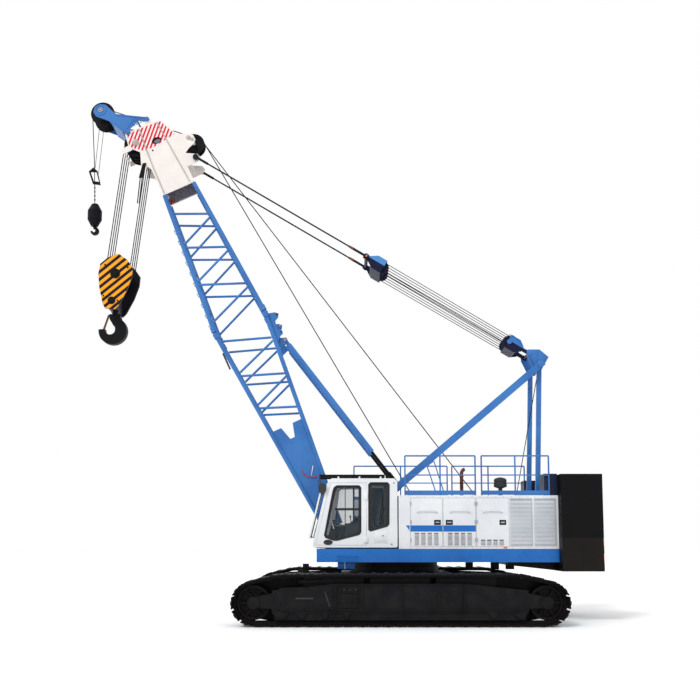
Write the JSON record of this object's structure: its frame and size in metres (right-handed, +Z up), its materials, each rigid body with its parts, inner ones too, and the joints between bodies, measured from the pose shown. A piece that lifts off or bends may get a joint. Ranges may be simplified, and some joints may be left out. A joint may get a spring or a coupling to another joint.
{
  "type": "crawler crane",
  "caption": "Lattice-boom crawler crane: tracks, slewing upperworks with cab and counterweight, luffing boom with tip jib, pendants, main hook block and auxiliary hook.",
  "frame": {"origin": "on the ground under the slewing axis, midway between the crawlers", "axes": "+X forward along the crawlers and the boom, +Y to the machine's left, +Z up"},
  "size_m": [13.0275, 5.9, 13.611],
  "materials": {
    "chassis_black": "satin",
    "frame_blue": "satin",
    "panel_white": "gloss",
    "panel_grey": "satin",
    "track_steel": "worn",
    "window_glass": "clear",
    "seat_vinyl": "matt",
    "dark_plastic": "matt",
    "cast_grey": "matt",
    "rusty_pipe": "rusty",
    "weight_black": "matt",
    "rope_steel": "oiled",
    "hook_yellow": "satin"
  },
  "bodies": {
    "undercarriage": {"carbody": "chassis_black", "slewing_ring": "chassis_black", "track_left": "track_steel", "track_right": "track_steel", "track_frame_left": "frame_blue", "track_frame_right": "frame_blue", "track_rollers": "track_steel", "drive_wheels": "track_steel", "idler_wheels": "track_steel"},
    "upperworks": {"turntable": "chassis_black", "deck_beams": "frame_blue", "cab_shell": "panel_white", "cab_glass": "window_glass", "cab_seat": "seat_vinyl", "cab_console": "dark_plastic", "cab_guard": "chassis_black", "house_left": "panel_white", "house_right": "panel_white", "louvres": "panel_grey", "engine": "cast_grey", "winches": "chassis_black", "railings": "frame_blue", "exhaust": "rusty_pipe", "air_cleaner": "dark_plastic", "counterweight_base": "weight_black", "counterweight_slabs": "weight_black", "counterweight_guides": "frame_blue", "gantry_struts": "frame_blue", "gantry_links": "frame_blue"},
    "cab_door": {"cab_door": "panel_white", "cab_door_glass": "window_glass"},
    "front_door": {"house_door_front": "panel_white"},
    "middle_door": {"house_door_middle": "panel_white"},
    "rear_door": {"house_door_rear": "panel_white"},
    "right_front_door": {"right_door_front": "panel_white"},
    "right_rear_door": {"right_door_rear": "panel_white"},
    "boom": {"boom_base_left": "frame_blue", "boom_base_right": "frame_blue", "boom_base_cross": "frame_blue", "boom_top_left": "frame_blue", "boom_top_right": "frame_blue", "boom_top_cross": "frame_blue", "boom_head": "panel_white", "guide_sheaves": "chassis_black", "tip_jib": "frame_blue"},
    "main_fall": {"head_sheaves": "chassis_black"},
    "main_block": {"hook_block": "hook_yellow", "hook_block_sheaves": "chassis_black"},
    "main_hook": {"main_hook": "chassis_black"},
    "aux_fall": {"tip_sheaves": "chassis_black", "limit_frame": "chassis_black"},
    "aux_ball": {"aux_ball": "chassis_black"},
    "aux_hook": {"aux_hook": "chassis_black"},
    "gantry_block": {"gantry_block": "chassis_black"},
    "floating_block": {"floating_block": "chassis_black", "pendants": "rope_steel"},
    "backstop_rods": {"backstop_rods": "chassis_black"},
    "backstop_tubes": {"backstop_tubes": "frame_blue"}
  },
  "joints": [
    {"name": "slew", "type": "hinge", "parent": "undercarriage", "child": "upperworks", "pos_m": [0, 0, 1.3], "axis": [0, 0, 1], "continuous": true},
    {"name": "boom_luff", "type": "hinge", "parent": "upperworks", "child": "boom", "pos_m": [1.48, 0, 2.1], "axis": [0, -1, 0], "range_deg": [-35, 12.7]},
    {"name": "gantry_block_tilt", "type": "hinge", "parent": "upperworks", "child": "gantry_block", "pos_m": [-3.52, 0, 6.74], "axis": [0, -1, 0], "range_deg": [-27.6, 10.65]},
    {"name": "luffing_reach", "type": "slide", "parent": "gantry_block", "child": "floating_block", "axis": [0.8571, 0, 0.5151], "range_m": [-1.40211, 3.77628]},
    {"name": "backstop_tilt", "type": "hinge", "parent": "upperworks", "child": "backstop_rods", "pos_m": [-0.1, 0, 3.29], "axis": [0, -1, 0], "range_deg": [-33.55, 12.81]},
    {"name": "backstop_reach", "type": "slide", "parent": "backstop_rods", "child": "backstop_tubes", "axis": [0.6102, 0, 0.7923], "range_m": [-0.47115, 1.21064]},
    {"name": "main_hang", "type": "hinge", "parent": "boom", "child": "main_fall", "pos_m": [6.81367, 0, 12.40396], "axis": [0, -1, 0], "range_deg": [-13.7, 36]},
    {"name": "main_hoist", "type": "slide", "parent": "main_fall", "child": "main_block", "axis": [0, 0, -1], "range_m": [-0.6, 5.5]},
    {"name": "main_swivel", "type": "hinge", "parent": "main_block", "child": "main_hook", "pos_m": [7.21022, 0, 8.82634], "axis": [-0.1219, 0, 0.9925], "continuous": true},
    {"name": "aux_hang", "type": "hinge", "parent": "boom", "child": "aux_fall", "pos_m": [7.75783, 0, 13.29605], "axis": [0, -1, 0], "range_deg": [-13.7, 36]},
    {"name": "aux_hoist", "type": "slide", "parent": "aux_fall", "child": "aux_ball", "axis": [0, 0, -1], "range_m": [-0.5, 9.9]},
    {"name": "aux_swivel", "type": "hinge", "parent": "aux_ball", "child": "aux_hook", "pos_m": [7.95075, 0, 10.3], "axis": [0, 0, 1], "continuous": true},
    {"name": "cab_door_hinge", "type": "hinge", "parent": "upperworks", "child": "cab_door", "pos_m": [0.734, 1.55, 2.6], "axis": [0, 0, 1], "range_deg": [0, 90]},
    {"name": "front_door_hinge", "type": "hinge", "parent": "upperworks", "child": "front_door", "pos_m": [-0.31, 1.562, 2.35], "axis": [0, 0, -1], "range_deg": [0, 90]},
    {"name": "middle_door_hinge", "type": "hinge", "parent": "upperworks", "child": "middle_door", "pos_m": [-1.9, 1.562, 2.35], "axis": [0, 0, 1], "range_deg": [0, 90]},
    {"name": "rear_door_hinge", "type": "hinge", "parent": "upperworks", "child": "rear_door", "pos_m": [-1.9, 1.562, 2.35], "axis": [0, 0, -1], "range_deg": [0, 90]},
    {"name": "right_front_hinge", "type": "hinge", "parent": "upperworks", "child": "right_front_door", "pos_m": [0.88, -1.562, 2.35], "axis": [0, 0, 1], "range_deg": [0, 90]},
    {"name": "right_rear_hinge", "type": "hinge", "parent": "upperworks", "child": "right_rear_door", "pos_m": [-1, -1.562, 2.35], "axis": [0, 0, -1], "range_deg": [0, 90]}
  ],
  "couplings": [
    {"joint": "gantry_block_tilt", "follows": "boom_luff", "ratio": 0.76},
    {"joint": "luffing_reach", "follows": "boom_luff", "m_per_rad": -6.1},
    {"joint": "backstop_tilt", "follows": "boom_luff", "ratio": 0.93},
    {"joint": "backstop_reach", "follows": "boom_luff", "m_per_rad": -1.9},
    {"joint": "main_hang", "follows": "boom_luff", "ratio": -1},
    {"joint": "aux_hang", "follows": "boom_luff", "ratio": -1}
  ]
}
